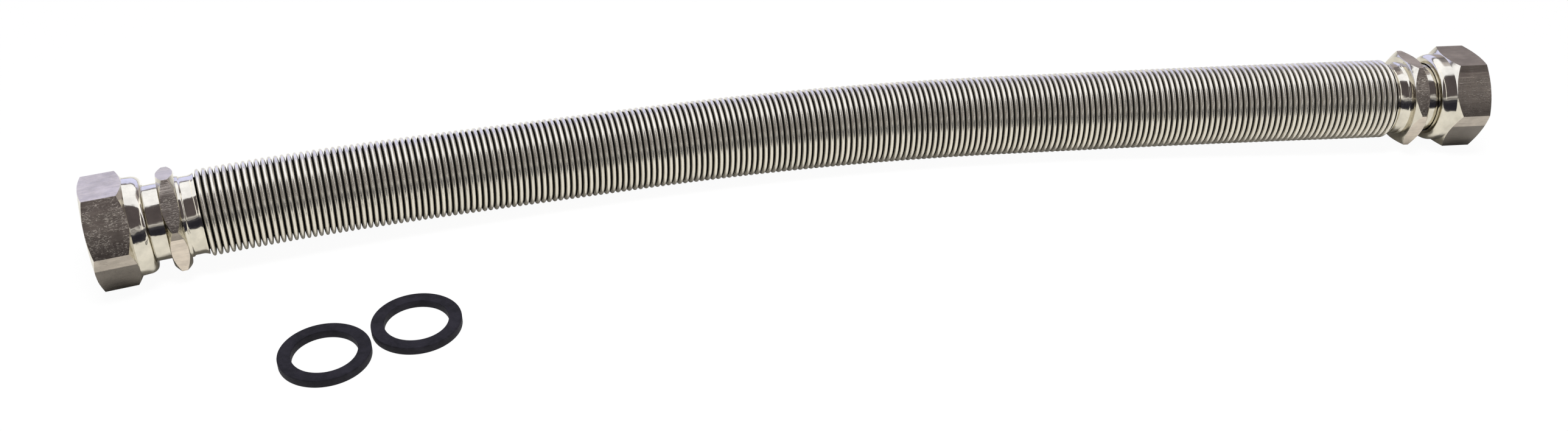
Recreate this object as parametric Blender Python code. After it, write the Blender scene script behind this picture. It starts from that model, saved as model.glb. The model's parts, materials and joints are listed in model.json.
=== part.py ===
"""Extendable flex hose with a union nut at each end and its two sealing washers.

The corrugated steel tube is pushed together, lies in a slight bow and carries a
turned tail piece at each end. A spring ring in the tail's groove keeps the union
nut on it. The washers lie beside the hose. Metres, +Z up, the hose along X.
"""

import math

import bmesh
import bpy
from mathutils import Matrix, Vector

MM = 0.001

# Clearances
GAP = 0.3 * MM
RING_CLEARANCE = 0.35 * MM
FLOOR_GAP = 0.05 * MM

# Corrugated tube
CREST_RADIUS = 16.0 * MM
CORRUGATION_DEPTH = 2.8 * MM
TUBE_WALL = 1.0 * MM
RING_PITCH = 2.25 * MM
CUFF_LENGTH = 6.0 * MM
TUBE_SIDES = 12
BORE_STATIONS = 8

# Lie of the tube: straight distance between its ends, sideways bow, what each end
# turns away from the bow, and the share of each half that lies on the floor
SPAN = 467.3 * MM
BOW = 23.7 * MM
LEFT_END_TURN = 0.038
RIGHT_END_TURN = 0.062
END_TURN_POWER = 8
FLAT_SHARE = 0.35
ROUTE_SAMPLES = 1500

# Tail piece, measured along its axis from the tube's last ring
TAIL_BORE_RADIUS = 10.5 * MM
SLEEVE_WALL = 0.9 * MM
LIP_FLARE = 0.7 * MM
LIP_START = 0.3 * MM
LIP_LENGTH = 1.5 * MM
BEAD_HEIGHT = 0.5 * MM
BEAD_LENGTH = 0.9 * MM
COLLAR_GAP = 0.3 * MM
COLLAR_THICKNESS = 6.2 * MM
COLLAR_LAND = 1.4 * MM
COLLAR_STAND_OUT = 3.2 * MM
COLLAR_FACE_STEP = 0.2 * MM
NECK_WALL = 3.3 * MM
NECK_LENGTH = 12.4 * MM
NECK_CHAMFER = 0.6 * MM
LEFT_COLLAR_TURN = math.radians(17.0)
RIGHT_COLLAR_TURN = math.radians(-7.0)

# Spring ring in its groove
GROOVE_DEPTH = 0.9 * MM
RING_THICKNESS = 1.2 * MM
RING_STAND_OUT = 1.0 * MM
RING_OPENING = math.radians(40.0)
RING_STEPS = 20

# Union nut, behind the same collar
NUT_BACK_GAP = 5.1 * MM
NUT_LENGTH = 20.3 * MM
NUT_LIP_WALL = 3.0 * MM
NUT_WALL = 2.85 * MM
NUT_MOUTH_CHAMFER = 1.5 * MM
NUT_REAR_LAND = 1.1 * MM
NUT_SHOULDER_ROUND = 3.3 * MM
NUT_SHOULDER_STEP = 0.3 * MM
NUT_SHOULDER_LENGTH = 5.9 * MM
NUT_CHAMFER_LENGTH = 2.2 * MM
NUT_END_CHAMFER = 1.3 * MM
NUT_TURN = math.radians(5.6)
NUT_ROUND_STEPS = 3
TURNED_SIDES = 28

# Sealing washers, which the nut's thread grips by their rims, and where they lie,
# from the middle of the span
WASHER_THICKNESS = 3.0 * MM
WASHER_GRIP = 0.35 * MM
WASHER_SET_BACK = 0.5 * MM
FIRST_WASHER_X = -190.7 * MM
FIRST_WASHER_Y = -67.9 * MM
SECOND_WASHER_X = -160.3 * MM
SECOND_WASHER_Y = -56.3 * MM

# Worked out from the sizes above
VALLEY_RADIUS = CREST_RADIUS - CORRUGATION_DEPTH
BORE_RADIUS = VALLEY_RADIUS - TUBE_WALL
CUFF_SEAT_RADIUS = VALLEY_RADIUS + GAP
SLEEVE_RADIUS = CUFF_SEAT_RADIUS + SLEEVE_WALL
COLLAR_START = CUFF_LENGTH + GAP + COLLAR_GAP
COLLAR_END = COLLAR_START + COLLAR_THICKNESS
NECK_RADIUS = TAIL_BORE_RADIUS + NECK_WALL
NECK_END = COLLAR_END + NECK_LENGTH
HEXAGON_CORNER = 1.0 / math.cos(math.pi / 6.0)
COLLAR_FLAT = NECK_RADIUS + COLLAR_STAND_OUT
COLLAR_CORNER = COLLAR_FLAT * HEXAGON_CORNER
NUT_THREAD_RADIUS = NECK_RADIUS + RING_STAND_OUT + RING_CLEARANCE
NUT_FLAT = NUT_THREAD_RADIUS + NUT_WALL
NUT_CORNER = NUT_FLAT * HEXAGON_CORNER
NUT_HOLE_RADIUS = NECK_RADIUS + GAP
NUT_REAR_RADIUS = NUT_HOLE_RADIUS + NUT_REAR_LAND
NUT_SHOULDER_RADIUS = NUT_FLAT - NUT_SHOULDER_STEP
NUT_START = COLLAR_END + NUT_BACK_GAP
NUT_STEP = NUT_START + NUT_LIP_WALL
NUT_END = NUT_START + NUT_LENGTH
RING_START = NUT_STEP + GAP
GROOVE_START = RING_START - 0.5 * GAP
GROOVE_WIDTH = RING_THICKNESS + GAP
GROOVE_RADIUS = NECK_RADIUS - GROOVE_DEPTH
WASHER_RADIUS = NUT_THREAD_RADIUS + WASHER_GRIP
WASHER_HOLE_RADIUS = TAIL_BORE_RADIUS + WASHER_SET_BACK
WASHER_PLACES = (
    Vector((FIRST_WASHER_X, FIRST_WASHER_Y, 0.0)),
    Vector((SECOND_WASHER_X, SECOND_WASHER_Y, 0.0)),
)


def lowest_corner(corner_radius, turn):
    """How far the lowest corner of a hexagon lies below its axis."""
    sixth = math.pi / 3.0
    return max(-corner_radius * math.sin(turn + k * sixth) for k in range(6))


END_AXIS_HEIGHT = FLOOR_GAP + max(
    lowest_corner(NUT_CORNER, NUT_TURN),
    lowest_corner(COLLAR_CORNER, LEFT_COLLAR_TURN),
    lowest_corner(COLLAR_CORNER, math.pi - RIGHT_COLLAR_TURN),
)


def smooth_step(value):
    """Ease from 0 to 1 with level ends."""
    value = min(max(value, 0.0), 1.0)
    return value * value * (3.0 - 2.0 * value)


def route_point(share):
    """Centre of the tube at a share of its span: a bow that lies on the floor."""
    bow = BOW * math.sin(math.pi * share)
    left = LEFT_END_TURN * SPAN * share * (1.0 - share) ** END_TURN_POWER
    right = RIGHT_END_TURN * SPAN * (1.0 - share) * share ** END_TURN_POWER
    from_middle = abs(2.0 * share - 1.0)
    lift = smooth_step((from_middle - FLAT_SHARE) / (1.0 - FLAT_SHARE))
    height = CREST_RADIUS + (END_AXIS_HEIGHT - CREST_RADIUS) * lift
    return Vector(((share - 0.5) * SPAN, bow + left - right, height))


def sampled_route():
    """Points along the route with the length run at each of them."""
    points = [route_point(k / ROUTE_SAMPLES) for k in range(ROUTE_SAMPLES + 1)]
    lengths = [0.0]
    for before, after in zip(points, points[1:]):
        lengths.append(lengths[-1] + (after - before).length)
    return points, lengths


def station(points, lengths, distance):
    """Matrix at a distance along the route, its X along the tube and Z upward."""
    low = 0
    high = len(lengths) - 1
    while high - low > 1:
        middle = (low + high) // 2
        if lengths[middle] <= distance:
            low = middle
        else:
            high = middle
    along = (distance - lengths[low]) / (lengths[high] - lengths[low])
    place = points[low].lerp(points[high], along)
    first = max(low - 1, 0)
    last = min(high + 1, len(points) - 1)
    forward = (points[last] - points[first]).normalized()
    side = Vector((0.0, 0.0, 1.0)).cross(forward).normalized()
    up = forward.cross(side)
    turn = Matrix((forward, side, up)).transposed().to_4x4()
    return Matrix.Translation(place) @ turn


def material(name, colour, roughness, metallic):
    made = bpy.data.materials.new(name)
    made.use_nodes = True
    shader = made.node_tree.nodes["Principled BSDF"]
    shader.inputs["Base Color"].default_value = (*colour, 1.0)
    shader.inputs["Roughness"].default_value = roughness
    shader.inputs["Metallic"].default_value = metallic
    return made


def mesh_object(name, bm, finish=None, smooth_angle=30.0):
    """Turn a finished bmesh into an object, its faces pointing outward."""
    bmesh.ops.recalc_face_normals(bm, faces=bm.faces[:])
    mesh = bpy.data.meshes.new(name)
    bm.to_mesh(mesh)
    bm.free()
    mesh.shade_smooth()
    mesh.set_sharp_from_angle(angle=math.radians(smooth_angle))
    made = bpy.data.objects.new(name, mesh)
    bpy.context.scene.collection.objects.link(made)
    if finish:
        mesh.materials.append(finish)
    return made


def hide_helper(helper):
    helper.hide_render = True
    helper.display_type = "WIRE"


def turned_ring(profile):
    """Spin a closed outline of (distance, radius) corners about the X axis."""
    bm = bmesh.new()
    corners = [bm.verts.new((distance, 0.0, radius)) for distance, radius in profile]
    edges = [bm.edges.new(pair) for pair in zip(corners, corners[1:] + corners[:1])]
    bmesh.ops.spin(
        bm,
        geom=corners + edges,
        cent=(0.0, 0.0, 0.0),
        axis=(1.0, 0.0, 0.0),
        angle=math.tau,
        steps=TURNED_SIDES,
        use_merge=True,
    )
    return bm


def hexagon_bar(start, length, corner_radius, turn):
    """Hexagonal bar along X, one corner at the given turn from +Y."""
    bm = bmesh.new()
    lie_down = Matrix.Rotation(turn, 4, "X") @ Matrix.Rotation(math.radians(90.0), 4, "Y")
    bmesh.ops.create_cone(
        bm,
        cap_ends=True,
        segments=6,
        radius1=corner_radius,
        radius2=corner_radius,
        depth=length,
        matrix=Matrix.Translation((start + 0.5 * length, 0.0, 0.0)) @ lie_down,
    )
    return bm


def boolean(target, cutter, operation):
    cut = target.modifiers.new(cutter.name, "BOOLEAN")
    cut.object = cutter
    cut.operation = operation
    cut.solver = "EXACT"


def extrude_loop(bm, edges, place, radius):
    """Extrude an open loop of the tube to a new place and radius."""
    grown = bmesh.ops.extrude_edge_only(bm, edges=edges)
    verts = [item for item in grown["geom"] if isinstance(item, bmesh.types.BMVert)]
    new_edges = [
        item
        for item in grown["geom"]
        if isinstance(item, bmesh.types.BMEdge) and item.verts[0] in verts and item.verts[1] in verts
    ]
    set_loop(bm, verts, place, radius)
    return new_edges


def set_loop(bm, verts, place, radius):
    """Put a loop's corners on a circle, each at the turn kept in its layer."""
    turn_layer = bm.verts.layers.float["turn"]
    for vert in verts:
        turn = vert[turn_layer]
        vert.co = place @ Vector((0.0, radius * math.sin(turn), -radius * math.cos(turn)))


def corrugated_tube(finish):
    """One ring after another along the route, then the bore back to the start."""
    points, lengths = sampled_route()
    length = lengths[-1]
    rings = round(length / RING_PITCH)
    pitch = length / rings

    bm = bmesh.new()
    turn_layer = bm.verts.layers.float.new("turn")
    verts = []
    for k in range(TUBE_SIDES):
        vert = bm.verts.new()
        vert[turn_layer] = math.tau * k / TUBE_SIDES
        verts.append(vert)
    start_edges = [bm.edges.new(pair) for pair in zip(verts, verts[1:] + verts[:1])]

    left_cuff = station(points, lengths, 0.0) @ Matrix.Translation((-CUFF_LENGTH, 0.0, 0.0))
    right_cuff = station(points, lengths, length) @ Matrix.Translation((CUFF_LENGTH, 0.0, 0.0))
    set_loop(bm, verts, left_cuff, VALLEY_RADIUS)
    edges = extrude_loop(bm, start_edges, station(points, lengths, 0.0), VALLEY_RADIUS)
    for k in range(rings):
        edges = extrude_loop(bm, edges, station(points, lengths, (k + 0.5) * pitch), CREST_RADIUS)
        edges = extrude_loop(bm, edges, station(points, lengths, (k + 1.0) * pitch), VALLEY_RADIUS)
    edges = extrude_loop(bm, edges, right_cuff, VALLEY_RADIUS)

    edges = extrude_loop(bm, edges, right_cuff, BORE_RADIUS)
    for k in range(BORE_STATIONS, -1, -1):
        distance = length * k / BORE_STATIONS
        edges = extrude_loop(bm, edges, station(points, lengths, distance), BORE_RADIUS)
    edges = extrude_loop(bm, edges, left_cuff, BORE_RADIUS)
    bmesh.ops.bridge_loops(bm, edges=edges + start_edges)
    return mesh_object("corrugated_hose", bm, finish, 20.0)


def collar_helper(name, turn):
    """Thin hexagon whose corners are turned down to a cone on both sides."""
    face_radius = COLLAR_FLAT - COLLAR_FACE_STEP
    middle = COLLAR_START + 0.5 * COLLAR_THICKNESS
    inside = 0.5 * (TAIL_BORE_RADIUS + NECK_RADIUS)
    cone_radius = COLLAR_CORNER + GAP
    outline = [
        (COLLAR_START, inside),
        (COLLAR_START, face_radius),
        (middle - 0.5 * COLLAR_LAND, cone_radius),
        (middle + 0.5 * COLLAR_LAND, cone_radius),
        (COLLAR_END, face_radius),
        (COLLAR_END, inside),
    ]
    bar = hexagon_bar(COLLAR_START - GAP, COLLAR_THICKNESS + 2.0 * GAP, COLLAR_CORNER, turn)
    collar = mesh_object(name, bar)
    cone = mesh_object(name + "_cone", turned_ring(outline))
    boolean(collar, cone, "INTERSECT")
    hide_helper(collar)
    hide_helper(cone)
    return collar, cone


def tail_piece(name, frame, collar_turn, finish):
    """Sleeve for the tube's cuff, hexagon collar, neck and ring groove in one."""
    cuff_seat = CUFF_LENGTH + GAP
    sleeve_end = COLLAR_START + 0.5 * COLLAR_THICKNESS
    bead_start = COLLAR_START - BEAD_LENGTH
    bead_radius = SLEEVE_RADIUS + BEAD_HEIGHT
    outline = [
        (LIP_START, CUFF_SEAT_RADIUS),
        (LIP_START, SLEEVE_RADIUS + LIP_FLARE),
        (LIP_START + LIP_LENGTH, SLEEVE_RADIUS),
        (bead_start - BEAD_HEIGHT, SLEEVE_RADIUS),
        (bead_start, bead_radius),
        (sleeve_end, bead_radius),
        (sleeve_end, NECK_RADIUS),
        (GROOVE_START, NECK_RADIUS),
        (GROOVE_START, GROOVE_RADIUS),
        (GROOVE_START + GROOVE_WIDTH, GROOVE_RADIUS),
        (GROOVE_START + GROOVE_WIDTH, NECK_RADIUS),
        (NECK_END - NECK_CHAMFER, NECK_RADIUS),
        (NECK_END, NECK_RADIUS - NECK_CHAMFER),
        (NECK_END, TAIL_BORE_RADIUS),
        (cuff_seat, TAIL_BORE_RADIUS),
        (cuff_seat, CUFF_SEAT_RADIUS),
    ]
    tail = mesh_object(name, turned_ring(outline), finish)
    collar, cone = collar_helper(name + "_collar", collar_turn)
    boolean(tail, collar, "UNION")
    for item in (tail, collar, cone):
        item.parent = frame
    return tail


def union_nut(name, frame, turn, finish):
    """Hexagon with a turned shoulder behind it, bored for thread and neck."""
    shoulder_end = NUT_START + NUT_SHOULDER_LENGTH
    rise = NUT_SHOULDER_RADIUS - NUT_REAR_RADIUS
    shoulder = []
    for k in range(NUT_ROUND_STEPS + 1):
        angle = 0.5 * math.pi * k / NUT_ROUND_STEPS
        distance = NUT_START + NUT_SHOULDER_ROUND * (1.0 - math.cos(angle))
        shoulder.append((distance, NUT_REAR_RADIUS + rise * math.sin(angle)))
    cone_radius = NUT_CORNER + GAP
    outline = [
        (NUT_START, NUT_HOLE_RADIUS),
        *shoulder,
        (shoulder_end, NUT_FLAT - 0.5 * NUT_SHOULDER_STEP),
        (shoulder_end + NUT_CHAMFER_LENGTH, cone_radius),
        (NUT_END - NUT_END_CHAMFER, cone_radius),
        (NUT_END, NUT_FLAT),
        (NUT_END, NUT_THREAD_RADIUS + NUT_MOUTH_CHAMFER),
        (NUT_END - NUT_MOUTH_CHAMFER, NUT_THREAD_RADIUS),
        (NUT_STEP, NUT_THREAD_RADIUS),
        (NUT_STEP, NUT_HOLE_RADIUS),
    ]
    bar = hexagon_bar(NUT_START - GAP, NUT_LENGTH + 2.0 * GAP, NUT_CORNER, turn)
    nut = mesh_object(name, bar, finish)
    turned = mesh_object(name + "_turned", turned_ring(outline))
    boolean(nut, turned, "INTERSECT")
    hide_helper(turned)
    for item in (nut, turned):
        item.parent = frame
    return nut


def spring_ring(name, frame, finish):
    """Open ring of flat wire, its gap at the top."""
    inner = GROOVE_RADIUS + GAP
    outer = NECK_RADIUS + RING_STAND_OUT
    bm = bmesh.new()
    start = RING_START
    end = RING_START + RING_THICKNESS
    section = [(start, inner), (start, outer), (end, outer), (end, inner)]
    corners = [bm.verts.new((distance, 0.0, radius)) for distance, radius in section]
    face = bm.faces.new(corners)
    bmesh.ops.rotate(
        bm,
        verts=corners,
        cent=(0.0, 0.0, 0.0),
        matrix=Matrix.Rotation(0.5 * RING_OPENING, 3, "X"),
    )
    bmesh.ops.spin(
        bm,
        geom=[face],
        cent=(0.0, 0.0, 0.0),
        axis=(1.0, 0.0, 0.0),
        angle=math.tau - RING_OPENING,
        steps=RING_STEPS,
    )
    ring = mesh_object(name, bm, finish)
    ring.parent = frame
    return ring


def washer(name, place, parent, finish):
    outline = [
        (0.0, WASHER_HOLE_RADIUS),
        (0.0, WASHER_RADIUS),
        (WASHER_THICKNESS, WASHER_RADIUS),
        (WASHER_THICKNESS, WASHER_HOLE_RADIUS),
    ]
    flat = mesh_object(name, turned_ring(outline), finish)
    flat.rotation_euler = (0.0, math.radians(-90.0), 0.0)
    flat.location = place
    flat.parent = parent
    return flat


def empty(name, matrix, parent=None):
    made = bpy.data.objects.new(name, None)
    bpy.context.scene.collection.objects.link(made)
    made.empty_display_size = CREST_RADIUS
    made.parent = parent
    made.matrix_local = matrix
    return made


def centre_on_origin(root, pieces):
    """Move the assembly so that the middle of its base is the origin."""
    bpy.context.view_layer.update()
    graph = bpy.context.evaluated_depsgraph_get()
    corners = []
    for piece in pieces:
        shown = piece.evaluated_get(graph)
        corners += [shown.matrix_world @ Vector(corner) for corner in shown.bound_box]
    low = Vector([min(corner[axis] for corner in corners) for axis in range(3)])
    high = Vector([max(corner[axis] for corner in corners) for axis in range(3)])
    root.location -= Vector((0.5 * (low.x + high.x), 0.5 * (low.y + high.y), low.z))


def main():
    for old in list(bpy.data.objects):
        bpy.data.objects.remove(old, do_unlink=True)

    tube_steel = material("tube_steel", (0.56, 0.54, 0.51), 0.22, 1.0)
    turned_steel = material("turned_steel", (0.60, 0.58, 0.54), 0.18, 1.0)
    nut_steel = material("nut_steel", (0.46, 0.43, 0.40), 0.38, 1.0)
    spring_steel = material("spring_steel", (0.40, 0.39, 0.38), 0.35, 1.0)
    rubber = material("rubber", (0.035, 0.034, 0.038), 0.62, 0.0)

    root = empty("hose_root", Matrix.Identity(4))
    points, lengths = sampled_route()
    about = Matrix.Rotation(math.pi, 4, "Z")
    left_frame = empty("left_end", station(points, lengths, 0.0) @ about, root)
    right_frame = empty("right_end", station(points, lengths, lengths[-1]), root)

    hose = corrugated_tube(tube_steel)
    hose.parent = root
    pieces = [hose]
    for side, frame, collar_turn, nut_turn in (
        ("left", left_frame, LEFT_COLLAR_TURN, NUT_TURN),
        ("right", right_frame, RIGHT_COLLAR_TURN, -NUT_TURN),
    ):
        pieces.append(tail_piece(side + "_tail", frame, collar_turn, turned_steel))
        pieces.append(spring_ring(side + "_spring_ring", frame, spring_steel))
        pieces.append(union_nut(side + "_union_nut", frame, nut_turn, nut_steel))
    for number, place in enumerate(WASHER_PLACES, start=1):
        pieces.append(washer("sealing_washer_%d" % number, place, root, rubber))
    centre_on_origin(root, pieces)


main()
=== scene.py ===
"""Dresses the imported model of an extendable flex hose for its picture.

The corrugated tube, the turned tail pieces, the threaded union nuts and the rubber
washers are modelled here in full detail, each in the place that the frame gives it,
and the hose lies on a pale floor under studio light. Sizes are in metres.
"""

import json
import math

import bmesh
import bpy
from bpy.props import FloatProperty, FloatVectorProperty, IntProperty, PointerProperty
from bpy.types import Operator, Panel, PropertyGroup
from mathutils import Matrix, Vector


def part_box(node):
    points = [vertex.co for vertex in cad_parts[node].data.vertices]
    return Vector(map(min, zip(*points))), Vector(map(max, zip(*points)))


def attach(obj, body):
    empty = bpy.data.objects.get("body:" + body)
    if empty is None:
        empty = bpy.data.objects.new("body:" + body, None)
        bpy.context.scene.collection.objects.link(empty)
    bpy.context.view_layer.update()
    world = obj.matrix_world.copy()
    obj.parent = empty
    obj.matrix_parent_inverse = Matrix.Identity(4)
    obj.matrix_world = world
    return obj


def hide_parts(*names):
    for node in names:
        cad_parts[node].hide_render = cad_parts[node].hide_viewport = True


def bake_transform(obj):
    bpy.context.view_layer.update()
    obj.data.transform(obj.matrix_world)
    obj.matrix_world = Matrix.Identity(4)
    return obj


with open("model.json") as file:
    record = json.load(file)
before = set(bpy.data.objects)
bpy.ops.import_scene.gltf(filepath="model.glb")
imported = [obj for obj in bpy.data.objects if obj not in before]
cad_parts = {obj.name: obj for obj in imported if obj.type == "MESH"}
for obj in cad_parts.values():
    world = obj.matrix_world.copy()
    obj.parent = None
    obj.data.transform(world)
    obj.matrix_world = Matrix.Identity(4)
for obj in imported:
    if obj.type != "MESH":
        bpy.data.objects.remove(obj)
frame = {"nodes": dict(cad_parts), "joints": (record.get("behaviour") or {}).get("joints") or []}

bl_info = {
    "name": "Extendable Flex Hose",
    "version": (1, 0, 0),
    "blender": (4, 5, 0),
    "location": "3D View > Sidebar > Flex Hose",
    "description": "Corrugated steel hose with union nuts, tail pieces and washers",
    "category": "Add Mesh",
}

MM = 0.001

# Camera: its focal length in pixels of the photograph, and where it stands
PHOTO_WIDTH = 2576
FOCAL_LENGTH = 2494.2
SENSOR_WIDTH = 36.0
CAMERA_PLACE = Vector((-123.665, -464.812, 329.273)) * MM
CAMERA_TURN = math.radians(-12.255)
CAMERA_TILT = math.radians(55.861)
CAMERA_ROLL = math.radians(1.007)

# The frame's joints give the axis of each fitting and the back of its nut
JOINTS = {joint["name"]: joint for joint in frame["joints"]}
SIDES = ("left", "right")
NUT_START = 17.9 * MM


def end_place(side):
    """Matrix of a fitting: X outward along its axis from the tube's last ring."""
    swivel = JOINTS[side + "_nut_swivel"]
    outward = Vector(swivel["axis"]).normalized()
    across = Vector((0.0, 0.0, 1.0)).cross(outward).normalized()
    turn = Matrix((outward, across, outward.cross(across))).transposed().to_4x4()
    return Matrix.Translation(Vector(swivel["pos_m"]) - NUT_START * outward) @ turn


PLACES = {side: end_place(side) for side in SIDES}
LEFT_END = PLACES["left"].translation
RIGHT_END = PLACES["right"].translation

# Lie of the tube between its ends, as in the solid model
BOW = 23.7 * MM
LEFT_END_TURN = 0.038
RIGHT_END_TURN = 0.062
END_TURN_POWER = 8
FLAT_SHARE = 0.35
ROUTE_STEPS = 800
LEAD_IN = 12.0 * MM

# Corrugations: half the gap between two rings and the roundness of a crest
RING_PITCH = 2.25 * MM
HALF_GAP = 0.36 * MM
CREST_SHOULDER = 0.16 * MM
CREST_ROUND = 0.44 * MM
CREST_DROP = 0.40 * MM
CREST_HEIGHT = 0.90 * MM
FLAT_DROP = 0.08 * MM
CUFF_LENGTH = 6.0 * MM
TUBE_WALL = 1.0 * MM
BORE_STEPS = 24

# Tail piece, from the tube's last ring outward
CLEARANCE = 0.3 * MM
TAIL_BORE_RADIUS = 10.5 * MM
SLEEVE_WALL = 0.9 * MM
LIP_FLARE = 0.7 * MM
LIP_LENGTH = 1.5 * MM
BEAD_HEIGHT = 0.5 * MM
BEAD_LENGTH = 0.9 * MM
COLLAR_START = 6.6 * MM
COLLAR_THICKNESS = 6.2 * MM
COLLAR_LAND = 1.4 * MM
COLLAR_STAND_OUT = 3.2 * MM
COLLAR_FACE_STEP = 0.2 * MM
NECK_RADIUS = 13.8 * MM
NECK_END = 25.2 * MM
NECK_CHAMFER = 0.6 * MM
GROOVE_START = 21.05 * MM
GROOVE_WIDTH = 1.5 * MM
GROOVE_DEPTH = 0.9 * MM
COLLAR_TURNS = {"left": math.radians(17.0), "right": math.radians(-7.0)}

# Union nut, from its back
NUT_LENGTH = 20.3 * MM
NUT_LIP_WALL = 3.0 * MM
NUT_HOLE_GAP = 0.3 * MM
NUT_REAR_LAND = 1.1 * MM
NUT_SHOULDER_ROUND = 3.3 * MM
NUT_SHOULDER_STEP = 0.3 * MM
NUT_SHOULDER_LENGTH = 5.9 * MM
SHOULDER_STEPS = 9
NUT_CHAMFER_LENGTH = 2.2 * MM
NUT_END_CHAMFER = 1.3 * MM
NUT_MOUTH_CHAMFER = 1.5 * MM
NUT_TURNS = {"left": math.radians(5.6), "right": math.radians(-5.6)}
THREAD_RELIEF = 2.4 * MM
THREAD_START = 1.2 * MM
THREAD_OVERRUN = 1.5 * MM
THREAD_FLANK = 1.0 * MM
THREAD_ROOT = 0.18 * MM
HEXAGON_CORNER = 1.0 / math.cos(math.pi / 6.0)

# Wear: the left nut's flats are torn, the right tail piece is dented; a nut's lesser wear also darkens
# its top flat with painted shade
NUT_WEAR_AND_SHADE = {"left": 1.0, "right": 0.25}
TAIL_WEAR = {"left": 0.5, "right": 0.9}

# Heights above a fitting's axis, in pairs over which its flats change their painted shade and how coarse
# their flecks are; the last pair turns the middle flat's bump over at its top
FACING_EDGE = (2.0 * MM, 2.2 * MM)
SHOULDERED_EDGE = (14.5 * MM, 14.9 * MM)
CROWN_EDGE = (16.6 * MM, 16.9 * MM)
UNDERSIDE_EDGE = (-4.6 * MM, -4.0 * MM)
PAINTED_SHADE_FADE = (2.0 * MM, 12.0 * MM)
TURNED_OVER = (14.9 * MM, 18.9 * MM)

# Faces of a fitting that meet at less than this angle shade as one
FITTING_CREASE = math.radians(24.0)

# Sealing washers
WASHER_THICKNESS = 3.0 * MM
WASHER_HOLE_RADIUS = 11.0 * MM
WASHER_CREASE = math.radians(40.0)


class FlexHoseSizes(PropertyGroup):
    """Sizes of the hose that a user would change"""

    crest_radius: FloatProperty(
        name="Crest Radius",
        description="Outer radius of the corrugations",
        default=16.0 * MM,
        min=5.0 * MM,
        unit="LENGTH",
    )
    corrugation_depth: FloatProperty(
        name="Corrugation Depth",
        description="How deep the gaps between the corrugations go",
        default=2.8 * MM,
        min=0.5 * MM,
        unit="LENGTH",
    )
    tube_sides: IntProperty(
        name="Tube Sides",
        description="Faces around the corrugated tube",
        default=56,
        min=12,
    )
    turned_sides: IntProperty(
        name="Turned Sides",
        description="Faces around the tail pieces, nuts and washers",
        default=112,
        min=24,
    )
    nut_flat: FloatProperty(
        name="Nut Flat",
        description="Distance from a nut's axis to its flats",
        default=18.0 * MM,
        min=10.0 * MM,
        unit="LENGTH",
    )
    thread_radius: FloatProperty(
        name="Thread Radius",
        description="Minor radius of the nut's pipe thread",
        default=15.15 * MM,
        min=5.0 * MM,
        unit="LENGTH",
    )
    thread_depth: FloatProperty(
        name="Thread Depth",
        description="Depth of the nut's pipe thread",
        default=1.43 * MM,
        min=0.2 * MM,
        unit="LENGTH",
    )
    thread_pitch: FloatProperty(
        name="Thread Pitch",
        description="Advance of the nut's thread in one turn, eleven to the inch",
        default=25.4 / 11.0 * MM,
        min=0.5 * MM,
        unit="LENGTH",
    )
    edge_round: FloatProperty(
        name="Edge Rounding",
        description="Radius on the turned and milled edges",
        default=0.22 * MM,
        min=0.02 * MM,
        unit="LENGTH",
    )
    washer_round: FloatProperty(
        name="Washer Edge Rounding",
        description="Radius on the edges of the moulded washers",
        default=0.30 * MM,
        min=0.02 * MM,
        unit="LENGTH",
    )


class FlexHoseColours(PropertyGroup):
    """Colours of the hose, its fittings and the ground"""

    tube: FloatVectorProperty(
        name="Tube",
        description="Annealed steel of the corrugations",
        subtype="COLOR",
        default=(0.64, 0.60, 0.51),
        min=0.0,
        max=1.0,
    )
    # Colour of the painted shade deep between the corrugations
    gap: FloatVectorProperty(
        name="Gaps",
        description="Dull steel deep between the corrugations",
        subtype="COLOR",
        default=(0.004, 0.004, 0.004),
        min=0.0,
        max=1.0,
    )
    polished: FloatVectorProperty(
        name="Polished Steel",
        description="Turned steel of the tail pieces and the nuts' shoulders",
        subtype="COLOR",
        default=(0.60, 0.56, 0.46),
        min=0.0,
        max=1.0,
    )
    milled: FloatVectorProperty(
        name="Milled Steel",
        description="Flats of the nuts and collars",
        subtype="COLOR",
        default=(0.57, 0.50, 0.41),
        min=0.0,
        max=1.0,
    )
    spring: FloatVectorProperty(
        name="Spring Steel",
        description="Spring rings inside the nuts",
        subtype="COLOR",
        default=(0.40, 0.39, 0.38),
        min=0.0,
        max=1.0,
    )
    rubber: FloatVectorProperty(
        name="Rubber",
        description="Moulded black rubber of the washers",
        subtype="COLOR",
        default=(0.0105, 0.0095, 0.0130),
        min=0.0,
        max=1.0,
    )
    ground: FloatVectorProperty(
        name="Ground",
        description="Plain pale floor",
        subtype="COLOR",
        default=(1.0, 1.0, 1.0),
        min=0.0,
        max=1.0,
    )


def sizes():
    return bpy.context.scene.flex_hose_sizes


def colours():
    return bpy.context.scene.flex_hose_colours


def deselect_all():
    for item in bpy.context.selected_objects:
        item.select_set(False)
    bpy.context.view_layer.objects.active = None


def make_active(piece):
    deselect_all()
    piece.select_set(True)
    bpy.context.view_layer.objects.active = piece


def name_piece(name):
    piece = bpy.context.object
    piece.name = name
    piece.data.name = name
    return piece


def select_vertices(piece, wanted):
    """In edit mode, select the vertices that the test picks and no others."""
    bpy.ops.mesh.select_all(action="DESELECT")
    bm = bmesh.from_edit_mesh(piece.data)
    for vert in bm.verts:
        vert.select = wanted(vert)
    bm.select_flush_mode()
    bmesh.update_edit_mesh(piece.data)


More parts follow.
